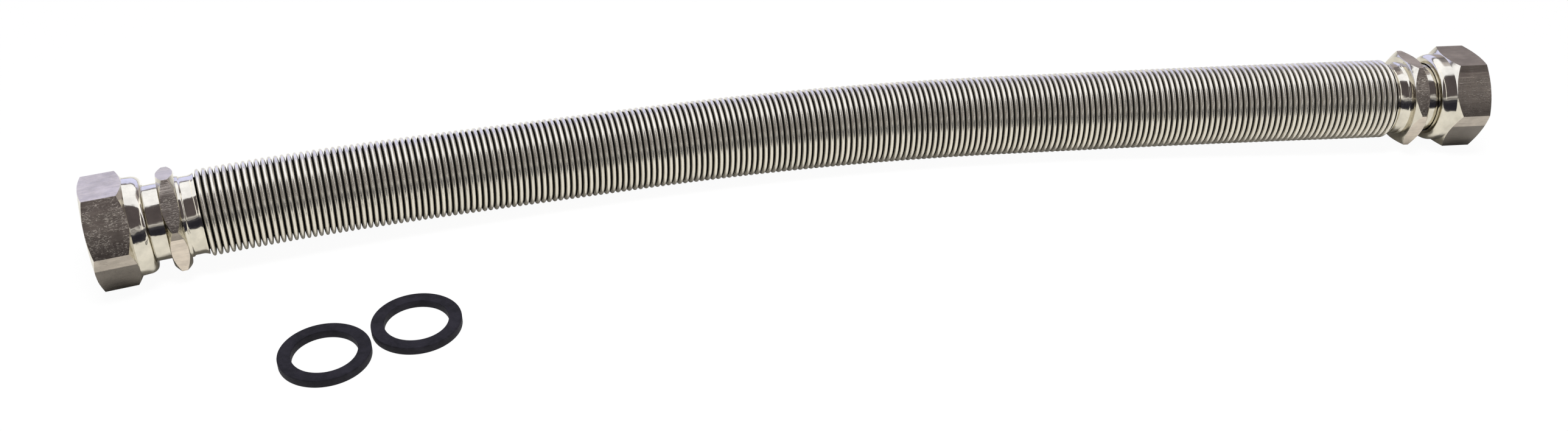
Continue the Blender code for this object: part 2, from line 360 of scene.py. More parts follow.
def draw_outline(name, corners, closed=True):
    """Draw an outline in the XZ plane from (distance, radius, rounding) corners."""
    deselect_all()
    bpy.ops.mesh.primitive_plane_add(size=MM)
    piece = name_piece(name)
    bpy.ops.object.mode_set(mode="EDIT")
    bpy.ops.mesh.merge(type="CENTER")
    spots = [Vector((distance, 0.0, radius)) for distance, radius, _ in corners]
    bpy.ops.transform.translate(value=spots[0])
    for before, after in zip(spots, spots[1:]):
        bpy.ops.mesh.extrude_region_move(TRANSFORM_OT_translate={"value": after - before})
    if closed:
        select_vertices(piece, lambda vert: len(vert.link_edges) == 1)
        bpy.ops.mesh.edge_face_add()
    for spot, (_, _, rounding) in zip(spots, corners):
        if rounding > 0.0:
            select_vertices(piece, lambda vert: (vert.co - spot).length < 0.001 * MM)
            bpy.ops.mesh.bevel(offset=rounding, segments=3, affect="VERTICES")
    return piece


def spin_outline(piece, sides, axis=(1.0, 0.0, 0.0)):
    """Spin the drawn outline once round and close its seam."""
    bpy.ops.mesh.select_all(action="SELECT")
    bpy.ops.mesh.spin(steps=sides, angle=math.tau, center=(0.0, 0.0, 0.0), axis=axis)
    bpy.ops.mesh.select_all(action="SELECT")
    bpy.ops.mesh.remove_doubles(threshold=0.002 * MM)
    bpy.ops.mesh.normals_make_consistent(inside=False)
    bpy.ops.object.mode_set(mode="OBJECT")
    return piece


def turned_piece(name, corners, material):
    piece = spin_outline(draw_outline(name, corners), sizes().turned_sides)
    piece.data.materials.append(material)
    return piece


def hexagon_bar(name, start, length, flat, turn, material):
    """Hexagonal bar along X with its long edges eased, one corner at a turn from Y."""
    deselect_all()
    bpy.ops.mesh.primitive_cylinder_add(vertices=6, radius=flat * HEXAGON_CORNER, depth=length)
    piece = name_piece(name)
    bpy.ops.object.mode_set(mode="EDIT")
    bm = bmesh.from_edit_mesh(piece.data)
    for edge in bm.edges:
        along = edge.verts[0].co - edge.verts[1].co
        edge.select = abs(along.normalized().z) > 0.9
    for vert in bm.verts:
        vert.select = False
    bm.select_mode = {"EDGE"}
    bm.select_flush_mode()
    bmesh.update_edit_mesh(piece.data)
    bpy.ops.mesh.bevel(offset=sizes().edge_round, segments=2, affect="EDGES")
    bpy.ops.object.mode_set(mode="OBJECT")
    lie_down = Matrix.Rotation(turn, 4, "X") @ Matrix.Rotation(math.radians(90.0), 4, "Y")
    piece.matrix_world = Matrix.Translation((start + 0.5 * length, 0.0, 0.0)) @ lie_down
    apply_place(piece)
    piece.data.materials.append(material)
    return piece


def apply_place(piece):
    make_active(piece)
    bpy.ops.object.transform_apply(location=True, rotation=True, scale=True)


def apply_modifier(piece, kind, **settings):
    make_active(piece)
    bpy.ops.object.modifier_add(type=kind)
    modifier = piece.modifiers[-1]
    for setting, value in settings.items():
        setattr(modifier, setting, value)
    bpy.ops.object.modifier_apply(modifier=modifier.name)


def cut_with(piece, cutter, operation):
    """Boolean with a cutter that keeps its own finish, and remove the cutter."""
    apply_modifier(
        piece,
        "BOOLEAN",
        object=cutter,
        operation=operation,
        solver="EXACT",
        material_mode="TRANSFER",
    )
    make_active(cutter)
    bpy.ops.object.delete()


def keep_wear_and_shade(piece, amount):
    """How torn the milled flats and how dented the polished parts of a piece are, and, on a nut, the
    less wear the more painted shade on its top flat.
    """
    wear_and_shade = piece.data.attributes.new("wear_and_shade", "FLOAT", "POINT")
    wear_and_shade.data.foreach_set("value", [amount] * len(piece.data.vertices))


def place_fitting(piece, place):
    """Keep each point's place on the fitting for its finish, then put it on the hose."""
    spots = [value for vert in piece.data.vertices for value in vert.co]
    kept = piece.data.attributes.new("fitting_place", "FLOAT_VECTOR", "POINT")
    kept.data.foreach_set("vector", spots)
    piece.matrix_world = place
    apply_place(piece)
    bpy.ops.object.shade_smooth_by_angle(angle=FITTING_CREASE)


# Route of the tube


def smooth_step(value):
    value = min(max(value, 0.0), 1.0)
    return value * value * (3.0 - 2.0 * value)


def route_point(share):
    """Centre of the tube at a share of its span: a bow that lies on the floor."""
    span = RIGHT_END.x - LEFT_END.x
    middle = 0.5 * (LEFT_END + RIGHT_END)
    bow = BOW * math.sin(math.pi * share)
    left = LEFT_END_TURN * span * share * (1.0 - share) ** END_TURN_POWER
    right = RIGHT_END_TURN * span * (1.0 - share) * share ** END_TURN_POWER
    lift = smooth_step((abs(2.0 * share - 1.0) - FLAT_SHARE) / (1.0 - FLAT_SHARE))
    crest = sizes().crest_radius
    height = crest + (LEFT_END.z - crest) * lift
    return Vector((middle.x + (share - 0.5) * span, middle.y + bow + left - right, height))


def route_points():
    return [route_point(k / ROUTE_STEPS) for k in range(ROUTE_STEPS + 1)]


def route_length(points):
    return sum((after - before).length for before, after in zip(points, points[1:]))


def route_curve(points):
    """Curve along the route, led straight on past both ends of the tube."""
    lead_in = points[0] + (points[0] - points[1]).normalized() * LEAD_IN
    lead_out = points[-1] + (points[-1] - points[-2]).normalized() * LEAD_IN
    spots = [lead_in, *points, lead_out]
    curve = bpy.data.curves.new("tube_route", "CURVE")
    curve.dimensions = "3D"
    curve.twist_mode = "Z_UP"
    spline = curve.splines.new("POLY")
    spline.points.add(len(spots) - 1)
    for point, spot in zip(spline.points, spots):
        point.co = (*spot, 1.0)
    route = bpy.data.objects.new("tube_route", curve)
    bpy.context.scene.collection.objects.link(route)
    return route


# Materials


def new_material(name):
    material = bpy.data.materials.new(name)
    material.use_nodes = True
    return material, material.node_tree.nodes["Principled BSDF"]


class NodeLine:
    """Adds nodes to a tree and links them by socket name."""

    def __init__(self, tree):
        self.tree = tree

    def add(self, kind, **settings):
        node = self.tree.nodes.new(kind)
        for setting, value in settings.items():
            setattr(node, setting, value)
        return node

    def link(self, start, end):
        self.tree.links.new(start, end)

    def math(self, operation, first, second=0.0, third=0.0):
        node = self.add("ShaderNodeMath", operation=operation)
        for socket, value in zip(node.inputs, (first, second, third)):
            self.feed(socket, value)
        return node.outputs["Value"]

    def feed(self, socket, value):
        if isinstance(value, bpy.types.NodeSocket):
            self.link(value, socket)
        else:
            socket.default_value = value

    def mix(self, factor, first, second):
        node = self.add("ShaderNodeMix", data_type="RGBA")
        self.feed(node.inputs["Factor"], factor)
        self.feed(node.inputs[6], first)
        self.feed(node.inputs[7], second)
        return node.outputs[2]

    def ramp(self, value, low, high):
        """Smooth mask from 0 at low to 1 at high, whichever of the two is larger."""
        node = self.add("ShaderNodeMapRange", interpolation_type="SMOOTHSTEP")
        self.feed(node.inputs["Value"], value)
        node.inputs["From Min"].default_value = low
        node.inputs["From Max"].default_value = high
        return node.outputs["Result"]

    def noise(self, vector, scale, detail=3.0, roughness=0.55):
        node = self.add("ShaderNodeTexNoise")
        self.feed(node.inputs["Vector"], vector)
        node.inputs["Scale"].default_value = scale
        node.inputs["Detail"].default_value = detail
        node.inputs["Roughness"].default_value = roughness
        return node.outputs["Fac"]

    def stretched(self, vector, scale):
        node = self.add("ShaderNodeMapping")
        self.feed(node.inputs["Vector"], vector)
        node.inputs["Scale"].default_value = scale
        return node.outputs["Vector"]


def new_group(name, inputs, outputs):
    tree = bpy.data.node_groups.new(name, "ShaderNodeTree")
    for label, kind in inputs:
        tree.interface.new_socket(name=label, in_out="INPUT", socket_type=kind)
    for label, kind in outputs:
        tree.interface.new_socket(name=label, in_out="OUTPUT", socket_type=kind)
    line = NodeLine(tree)
    start = line.add("NodeGroupInput")
    end = line.add("NodeGroupOutput")
    return line, start.outputs, end.inputs


def use_group(line, name, **values):
    node = line.add("ShaderNodeGroup", node_tree=bpy.data.node_groups[name])
    for label, value in values.items():
        line.feed(node.inputs[label], value)
    return node.outputs


def make_machining_group():
    """Fine lines along the axis, short bright flecks and duller patches on milled steel."""
    line, given, put = new_group(
        "machining",
        [("Place", "NodeSocketVector"), ("Coarseness", "NodeSocketFloat")],
        [("Lines", "NodeSocketFloat"), ("Flecks", "NodeSocketFloat"), ("Patches", "NodeSocketFloat")],
    )
    place = given["Place"]
    lines = line.noise(line.stretched(place, (120.0, 2600.0, 2600.0)), 1.0, 4.0, 0.6)
    broad = line.noise(line.stretched(place, (60.0, 700.0, 700.0)), 1.0, 2.0)
    line.feed(put["Lines"], line.math("MULTIPLY_ADD", lines, 0.7, line.math("MULTIPLY", broad, 0.3)))
    flecks = line.noise(line.stretched(place, (1100.0, 2700.0, 2700.0)), 1.0, 6.0, 0.80)
    where = line.ramp(line.noise(place, 210.0, 2.0), 0.34, 0.56)
    masked = line.math("MULTIPLY", line.ramp(flecks, 0.54, 0.68), where)
    line.feed(put["Flecks"], line.math("MULTIPLY", masked, given["Coarseness"]))
    line.feed(put["Patches"], line.noise(place, 160.0, 4.0, 0.6))


def make_handling_group():
    """Faint clouding and hairline scratches left on polished steel by handling."""
    line, given, put = new_group(
        "handling",
        [("Place", "NodeSocketVector")],
        [("Cloud", "NodeSocketFloat"), ("Scratches", "NodeSocketFloat")],
    )
    place = given["Place"]
    line.feed(put["Cloud"], line.noise(place, 190.0, 5.0, 0.62))
    hair = line.noise(line.stretched(place, (260.0, 1500.0, 900.0)), 1.0, 6.0, 0.75)
    line.feed(put["Scratches"], line.ramp(hair, 0.60, 0.72))


def bump(line, height, strength, distance):
    node = line.add("ShaderNodeBump")
    line.feed(node.inputs["Height"], height)
    node.inputs["Strength"].default_value = strength
    node.inputs["Distance"].default_value = distance
    return node.outputs["Normal"]


def fitting_place(line):
    return line.add("ShaderNodeAttribute", attribute_name="fitting_place").outputs["Vector"]


def wear_and_shade_of(line):
    return line.add("ShaderNodeAttribute", attribute_name="wear_and_shade").outputs["Fac"]


def object_place(line):
    return line.add("ShaderNodeTexCoord").outputs["Object"]


def tinted(colour, factor):
    return (*(min(value * factor, 1.0) for value in colour), 1.0)


def shaded(line, mask, colour, dark, light):
    """Colour that goes from a dark tint to a light one with the mask."""
    return line.mix(mask, tinted(colour, dark), tinted(colour, light))


def polished_steel():
    """Turned and polished steel with faint clouding."""
    material, shader = new_material("polished_steel")
    line = NodeLine(material.node_tree)
    place = fitting_place(line)
    marks = use_group(line, "handling", Place=place)
    tone = line.ramp(marks["Cloud"], 0.32, 0.70)
    colour = shaded(line, tone, colours().polished, 0.86, 1.06)
    scratched = line.math("MULTIPLY", marks["Scratches"], 0.35)
    worn = line.mix(scratched, colour, tinted(colours().polished, 1.3))
    line.feed(shader.inputs["Base Color"], worn)
    rough = line.math("MULTIPLY_ADD", marks["Cloud"], 0.12, 0.045)
    line.feed(shader.inputs["Roughness"], line.math("MULTIPLY_ADD", marks["Scratches"], 0.12, rough))
    shader.inputs["Metallic"].default_value = 1.0
    dents = line.math("MULTIPLY", line.noise(place, 210.0, 2.0, 0.5), wear_and_shade_of(line))
    height = line.math("MULTIPLY_ADD", dents, 3.0, line.math("MULTIPLY", marks["Cloud"], 0.2))
    line.feed(shader.inputs["Normal"], bump(line, height, 0.5, 0.12 * MM))
    return material


def milled_steel():
    """Matte flats with fine lines along the axis and torn flecks, with painted shade that darkens them
    towards the floor and on a less worn nut's top flat.
    """
    material, shader = new_material("milled_steel")
    line = NodeLine(material.node_tree)
    place = fitting_place(line)
    local = line.add("ShaderNodeSeparateXYZ")
    line.feed(local.inputs["Vector"], place)
    above = local.outputs["Z"]
    on_nut = line.ramp(local.outputs["X"], NUT_START - 3.0 * MM, NUT_START - 2.0 * MM)
    # Painted shade by height: the middle flat's body, the lower flat, and darker still below the
    # underside edge
    facing = line.ramp(above, *FACING_EDGE)
    upper = line.math("MULTIPLY", facing, line.ramp(above, *reversed(SHOULDERED_EDGE)))
    under = line.math("MULTIPLY", line.ramp(above, *reversed(FACING_EDGE)), on_nut)
    lower = line.math("MULTIPLY", line.ramp(above, *reversed(UNDERSIDE_EDGE)), on_nut)
    wear_and_shade = wear_and_shade_of(line)
    # Painted shade on a nut's top flat, the darker the less the nut is worn
    crown = line.math("MULTIPLY", line.ramp(above, *CROWN_EDGE), on_nut)
    painted_crown_shade = line.math("MULTIPLY", crown, line.math("MULTIPLY_ADD", wear_and_shade, -0.45, 0.45))
    coarse = line.math("MULTIPLY", line.math("MULTIPLY_ADD", upper, 0.8, 0.2), wear_and_shade)
    marks = use_group(line, "machining", Place=place, Coarseness=coarse)
    tone = line.math("MULTIPLY_ADD", marks["Patches"], 0.5, line.math("MULTIPLY", marks["Lines"], 0.5))
    base = shaded(line, line.ramp(tone, 0.34, 0.66), colours().milled, 0.72, 1.12)
    # Painted shade, strongest on the middle flat near its low edge and on the lower flat, mixed into the
    # flats' colour
    painted_shade_fade = line.math("MULTIPLY_ADD", line.ramp(above, *PAINTED_SHADE_FADE), -0.54, 0.70)
    painted_shade_beneath = line.math("MULTIPLY_ADD", under, 0.32, line.math("MULTIPLY", lower, 0.52))
    ends = line.math("ADD", painted_shade_beneath, painted_crown_shade)
    painted_shade = line.math("MULTIPLY_ADD", upper, painted_shade_fade, ends)
    with_painted_shade = line.mix(painted_shade, base, tinted(colours().milled, 0.12))
    flecks = line.math("MULTIPLY", marks["Flecks"], 0.3)
    line.feed(shader.inputs["Base Color"], line.mix(flecks, with_painted_shade, tinted(colours().milled, 1.8)))
    line.feed(shader.inputs["Roughness"], line.math("MULTIPLY_ADD", marks["Lines"], 0.26, 0.20))
    shader.inputs["Metallic"].default_value = 1.0
    edge = line.math("MULTIPLY", line.ramp(above, *TURNED_OVER), -1.6)
    grain = line.math("MULTIPLY_ADD", marks["Lines"], 0.30, edge)
    torn = line.math("MULTIPLY_ADD", marks["Flecks"], 0.6, grain)
    line.feed(shader.inputs["Normal"], bump(line, torn, 0.9, 0.30 * MM))
    return material


def ringed_steel():
    """Annealed steel rings, each a little unlike the next, with painted shade in the gaps."""
    material, shader = new_material("ringed_steel")
    line = NodeLine(material.node_tree)
    depth = line.add("ShaderNodeAttribute", attribute_name="depth").outputs["Fac"]
    along = line.add("ShaderNodeAttribute", attribute_name="along").outputs["Fac"]
    ring = line.math("FLOOR", line.math("DIVIDE", along, RING_PITCH))
    chance = line.add("ShaderNodeTexWhiteNoise", noise_dimensions="1D")
    line.feed(chance.inputs["W"], ring)
    place = object_place(line)
    marks = use_group(line, "handling", Place=place)
    clouded = line.math("MULTIPLY", marks["Cloud"], 0.5)
    rings = line.math("MULTIPLY_ADD", chance.outputs["Value"], 0.6, clouded)
    crest = shaded(line, rings, colours().tube, 0.84, 1.08)
    # Painted shade deep in the gaps between the rings: near-black, rougher and not metallic
    deep = line.ramp(depth, 0.24, 0.46)
    line.feed(shader.inputs["Base Color"], line.mix(deep, crest, tinted(colours().gap, 1.0)))
    rough = line.math("MULTIPLY_ADD", marks["Cloud"], 0.18, 0.14)
    line.feed(shader.inputs["Roughness"], line.math("MULTIPLY_ADD", deep, 0.6, rough))
    line.feed(shader.inputs["Metallic"], line.math("MULTIPLY_ADD", deep, -0.86, 0.86))
    shader.inputs["Specular IOR Level"].default_value = 0.0
    drawn = line.add("ShaderNodeTexNoise", noise_dimensions="1D")
    line.feed(drawn.inputs["W"], along)
    drawn.inputs["Scale"].default_value = 2100.0
    drawn.inputs["Detail"].default_value = 2.0
    height = line.math("MULTIPLY_ADD", marks["Cloud"], 0.8, drawn.outputs["Fac"])
    line.feed(shader.inputs["Normal"], bump(line, height, 0.55, 0.07 * MM))
    return material


def sprung_steel():
    """Plain hardened wire, a little duller than the turned steel."""
    material, shader = new_material("sprung_steel")
    line = NodeLine(material.node_tree)
    marks = use_group(line, "handling", Place=object_place(line))
    line.feed(shader.inputs["Base Color"], shaded(line, marks["Cloud"], colours().spring, 0.8, 1.1))
    line.feed(shader.inputs["Roughness"], line.math("MULTIPLY_ADD", marks["Cloud"], 0.2, 0.25))
    shader.inputs["Metallic"].default_value = 1.0
    return material


def washer_rubber():
    """Moulded black rubber, dusty and faintly mottled."""
    material, shader = new_material("washer_rubber")
    line = NodeLine(material.node_tree)
    place = object_place(line)
    mottle = line.noise(place, 420.0, 6.0, 0.7)
    dust = line.ramp(line.noise(place, 130.0, 4.0, 0.6), 0.46, 0.70)
    base = shaded(line, line.ramp(mottle, 0.35, 0.68), colours().rubber, 0.62, 1.5)
    dusty = line.mix(line.math("MULTIPLY", dust, 0.5), base, (0.024, 0.022, 0.030, 1.0))
    line.feed(shader.inputs["Base Color"], dusty)
    line.feed(shader.inputs["Roughness"], line.math("MULTIPLY_ADD", mottle, 0.25, 0.55))
    shader.inputs["Specular IOR Level"].default_value = 0.16
    grain = line.noise(place, 2600.0, 3.0, 0.6)
    height = line.math("MULTIPLY_ADD", mottle, 0.7, line.math("MULTIPLY", grain, 0.3))
    line.feed(shader.inputs["Normal"], bump(line, height, 0.35, 0.15 * MM))
    return material


def finish(name):
    """The named finish, made on its first use."""
    return bpy.data.materials.get(name) or FINISHES[name]()


FINISHES = {
    "polished_steel": polished_steel,
    "milled_steel": milled_steel,
    "ringed_steel": ringed_steel,
    "sprung_steel": sprung_steel,
    "washer_rubber": washer_rubber,
}


class FLEXHOSE_OT_tube(Operator):
    """Model the corrugated tube from one ring, repeated along the route"""

    bl_idname = "flexhose.tube"
    bl_label = "Corrugated Tube"

    def execute(self, context):
        points = route_points()
        length = route_length(points)
        rings = round(length / RING_PITCH)
        pitch = length / rings
        crest = sizes().crest_radius
        valley = crest - sizes().corrugation_depth
        bore = valley - TUBE_WALL

        shoulder = HALF_GAP + CREST_SHOULDER
        rounding = HALF_GAP + CREST_ROUND
        ring = [
            (0.0, valley, 0.0),
            (HALF_GAP, crest - CREST_HEIGHT, 0.0),
            (shoulder, crest - CREST_DROP, 0.0),
            (rounding, crest - FLAT_DROP, 0.0),
            (0.5 * pitch, crest, 0.0),
            (pitch - rounding, crest - FLAT_DROP, 0.0),
            (pitch - shoulder, crest - CREST_DROP, 0.0),
            (pitch - HALF_GAP, crest - CREST_HEIGHT, 0.0),
            (pitch, valley, 0.0),
        ]
        hose = spin_outline(draw_outline("corrugated_tube", ring, closed=False), sizes().tube_sides)
        apply_modifier(
            hose,
            "ARRAY",
            count=rings,
            use_relative_offset=False,
            use_constant_offset=True,
            constant_offset_displace=(pitch, 0.0, 0.0),
            use_merge_vertices=True,
            merge_threshold=0.002 * MM,
        )
        inside = [(length, valley, 0.0), (length + CUFF_LENGTH, valley, 0.0)]
        inside += [
            (length + CUFF_LENGTH - (length + 2.0 * CUFF_LENGTH) * k / BORE_STEPS, bore, 0.0)
            for k in range(BORE_STEPS + 1)
        ]
        inside += [(-CUFF_LENGTH, valley, 0.0), (0.0, valley, 0.0)]
        lining = spin_outline(draw_outline("tube_lining", inside, closed=False), sizes().tube_sides)
        make_active(hose)
        lining.select_set(True)
        bpy.ops.object.join()
        bpy.ops.object.mode_set(mode="EDIT")
        bpy.ops.mesh.select_all(action="SELECT")
        bpy.ops.mesh.remove_doubles(threshold=0.005 * MM)
        bpy.ops.mesh.normals_make_consistent(inside=False)
        bpy.ops.object.mode_set(mode="OBJECT")

        verts = hose.data.vertices
        depths = [(crest - math.hypot(vert.co.y, vert.co.z)) / (crest - valley) for vert in verts]
        depth = hose.data.attributes.new("depth", "FLOAT", "POINT")
        depth.data.foreach_set("value", depths)
        along = hose.data.attributes.new("along", "FLOAT", "POINT")
        along.data.foreach_set("value", [vert.co.x for vert in verts])

        hose.location.x = LEAD_IN
        apply_place(hose)
        route = route_curve(points)
        apply_modifier(hose, "CURVE", object=route, deform_axis="POS_X")
        bpy.data.objects.remove(route, do_unlink=True)
        bpy.ops.object.shade_smooth()
        hose.data.materials.append(finish("ringed_steel"))

        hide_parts("corrugated_hose")
        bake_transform(hose)
        return {"FINISHED"}


class FLEXHOSE_OT_tails(Operator):
    """Model the two tail pieces with their hexagon collars"""

    bl_idname = "flexhose.tails"
    bl_label = "Tail Pieces"

    def execute(self, context):
        for side, body in (("left", "hose"), ("right", "right_end")):
            tail = self.model_tail(side)
            keep_wear_and_shade(tail, TAIL_WEAR[side])
            place_fitting(tail, PLACES[side])
            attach(tail, body)
            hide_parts(side + "_tail")
        return {"FINISHED"}

    def model_tail(self, side):
        ease = sizes().edge_round
        cuff_seat = sizes().crest_radius - sizes().corrugation_depth + CLEARANCE
        sleeve = cuff_seat + SLEEVE_WALL
        bead_start = COLLAR_START - BEAD_LENGTH
        bead = sleeve + BEAD_HEIGHT
        middle = COLLAR_START + 0.5 * COLLAR_THICKNESS
        seat_end = CUFF_LENGTH + CLEARANCE
        groove_end = GROOVE_START + GROOVE_WIDTH
        outline = [
            (CLEARANCE, cuff_seat, 0.0),
            (CLEARANCE, sleeve + LIP_FLARE, ease),
            (CLEARANCE + LIP_LENGTH, sleeve, 3.0 * ease),
            (bead_start - BEAD_HEIGHT, sleeve, ease),
            (bead_start, bead, ease),
            (middle, bead, 0.0),
            (middle, NECK_RADIUS, 0.0),
            (GROOVE_START, NECK_RADIUS, 0.0),
            (GROOVE_START, NECK_RADIUS - GROOVE_DEPTH, 0.0),
            (groove_end, NECK_RADIUS - GROOVE_DEPTH, 0.0),
            (groove_end, NECK_RADIUS, 0.0),
            (NECK_END - NECK_CHAMFER, NECK_RADIUS, ease),
            (NECK_END, NECK_RADIUS - NECK_CHAMFER, 0.0),
            (NECK_END, TAIL_BORE_RADIUS, ease),
            (seat_end, TAIL_BORE_RADIUS, 0.0),
            (seat_end, cuff_seat, 0.0),
        ]
        tail = turned_piece(side + "_tail_piece", outline, finish("polished_steel"))
        cut_with(tail, self.model_collar(side), "UNION")
        return tail

    def model_collar(self, side):
        """Hexagon turned down to a cone on both sides, which leaves lens-shaped flats."""
        ease = sizes().edge_round
        flat = NECK_RADIUS + COLLAR_STAND_OUT
        end = COLLAR_START + COLLAR_THICKNESS
        middle = COLLAR_START + 0.5 * COLLAR_THICKNESS
        inside = 0.5 * (TAIL_BORE_RADIUS + NECK_RADIUS)
        cone = flat * HEXAGON_CORNER + CLEARANCE
        outline = [
            (COLLAR_START, inside, 0.0),
            (COLLAR_START, flat - COLLAR_FACE_STEP, 2.0 * ease),
            (middle - 0.5 * COLLAR_LAND, cone, ease),
            (middle + 0.5 * COLLAR_LAND, cone, ease),
            (end, flat - COLLAR_FACE_STEP, 2.0 * ease),
            (end, inside, 0.0),
        ]
        collar = hexagon_bar(
            side + "_collar",
            COLLAR_START - CLEARANCE,
            COLLAR_THICKNESS + 2.0 * CLEARANCE,
            flat,
            COLLAR_TURNS[side],
            finish("milled_steel"),
        )
        cones = turned_piece(side + "_cones", outline, finish("polished_steel"))
        cut_with(collar, cones, "INTERSECT")
        return collar


class FLEXHOSE_OT_nuts(Operator):
    """Model the two union nuts with their pipe threads"""

    bl_idname = "flexhose.nuts"
    bl_label = "Union Nuts"

    def execute(self, context):
        for side in SIDES:
            nut = self.model_nut(side)
            keep_wear_and_shade(nut, NUT_WEAR_AND_SHADE[side])
            place_fitting(nut, PLACES[side])
            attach(nut, side + "_nut")
            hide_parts(side + "_union_nut")
        return {"FINISHED"}

    def model_nut(self, side):
        ease = sizes().edge_round
        flat = sizes().nut_flat
        thread = sizes().thread_radius
        hole = NECK_RADIUS + NUT_HOLE_GAP
        shoulder_end = NUT_START + NUT_SHOULDER_LENGTH
        step = NUT_START + NUT_LIP_WALL
        end = NUT_START + NUT_LENGTH
        cone = flat * HEXAGON_CORNER + CLEARANCE
        shoulder = self.shoulder_points(hole + NUT_REAR_LAND, flat - NUT_SHOULDER_STEP)
        outline = [
            (NUT_START, hole, ease),
            *shoulder,
            (shoulder_end, flat - 0.5 * NUT_SHOULDER_STEP, 0.0),
            (shoulder_end + NUT_CHAMFER_LENGTH, cone, 0.0),
            (end - NUT_END_CHAMFER, cone, 0.0),
            (end, flat, ease),
            (end, thread + NUT_MOUTH_CHAMFER, ease),
            (end - NUT_MOUTH_CHAMFER, thread, 0.0),
            (step + THREAD_RELIEF, thread, 0.0),
            (step + THREAD_RELIEF - sizes().thread_depth, thread + sizes().thread_depth, 0.0),
            (step, thread + sizes().thread_depth, 0.0),
            (step, hole, 0.0),
        ]
        nut = hexagon_bar(
            side + "_nut",
            NUT_START - CLEARANCE,
            NUT_LENGTH + 2.0 * CLEARANCE,
            flat,
            NUT_TURNS[side],
            finish("milled_steel"),
        )
        cut_with(nut, turned_piece(side + "_turning", outline, finish("polished_steel")), "INTERSECT")
        cut_with(nut, self.model_tap(step + THREAD_START, end + THREAD_OVERRUN), "DIFFERENCE")
        return nut

    def shoulder_points(self, rear, front):
        """Quarter round from the nut's back face to the full radius of its shoulder."""
        points = []
        for k in range(SHOULDER_STEPS + 1):
            angle = 0.5 * math.pi * k / SHOULDER_STEPS
            distance = NUT_START + NUT_SHOULDER_ROUND * (1.0 - math.cos(angle))
            points.append((distance, rear + (front - rear) * math.sin(angle), 0.0))
        return points

    def model_tap(self, start, end):
        """Helical ridge that cuts the thread, from inside the relief to past the mouth."""
        thread = sizes().thread_radius
        root = thread + sizes().thread_depth
        inside = thread - CLEARANCE
        ridge = [
            (start - THREAD_FLANK, inside, 0.0),
            (start - THREAD_ROOT, root, 0.0),
            (start + THREAD_ROOT, root, 0.0),
            (start + THREAD_FLANK, inside, 0.0),
        ]
        tap = draw_outline("tap", ridge)
        bpy.ops.object.mode_set(mode="OBJECT")
        apply_modifier(
            tap,
            "SCREW",
            axis="X",
            steps=48,
            render_steps=48,
            angle=math.tau,
            screw_offset=sizes().thread_pitch,
            iterations=round((end - start) / sizes().thread_pitch),
            use_merge_vertices=True,
            merge_threshold=0.001 * MM,
        )
        bpy.ops.object.mode_set(mode="EDIT")
        bpy.ops.mesh.select_all(action="DESELECT")
        bpy.ops.mesh.select_non_manifold()
        bpy.ops.mesh.fill_holes(sides=8)
        bpy.ops.mesh.select_all(action="SELECT")
        bpy.ops.mesh.normals_make_consistent(inside=False)
        bpy.ops.object.mode_set(mode="OBJECT")
        tap.data.materials.append(finish("polished_steel"))
        return tap


class FLEXHOSE_OT_spring_rings(Operator):
    """Finish the spring rings that keep the nuts on their tails"""

    bl_idname = "flexhose.spring_rings"
    bl_label = "Spring Rings"

    def execute(self, context):
        for side in SIDES:
            ring = frame["nodes"][side + "_spring_ring"]
            ring.data.materials.clear()
            ring.data.materials.append(finish("sprung_steel"))
        return {"FINISHED"}


class FLEXHOSE_OT_washers(Operator):
    """Model the two flat sealing washers"""

    bl_idname = "flexhose.washers"
    bl_label = "Sealing Washers"

    def execute(self, context):
        ease = sizes().washer_round
        for number in (1, 2):
            node = "sealing_washer_%d" % number
            low, high = (Vector(corner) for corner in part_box(node))
            radius = 0.5 * (high.x - low.x)
            outline = [
                (WASHER_HOLE_RADIUS, 0.0, ease),
                (radius, 0.0, ease),
                (radius, WASHER_THICKNESS, ease),
                (WASHER_HOLE_RADIUS, WASHER_THICKNESS, ease),
            ]
            drawn = draw_outline("rubber_washer_%d" % number, outline)
            washer = spin_outline(drawn, sizes().turned_sides, axis=(0.0, 0.0, 1.0))
            washer.location = (0.5 * (low.x + high.x), 0.5 * (low.y + high.y), low.z)
            apply_place(washer)
            bpy.ops.object.shade_smooth_by_angle(angle=WASHER_CREASE)
            washer.data.materials.append(finish("washer_rubber"))
            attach(washer, "hose")
            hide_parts(node)
        return {"FINISHED"}


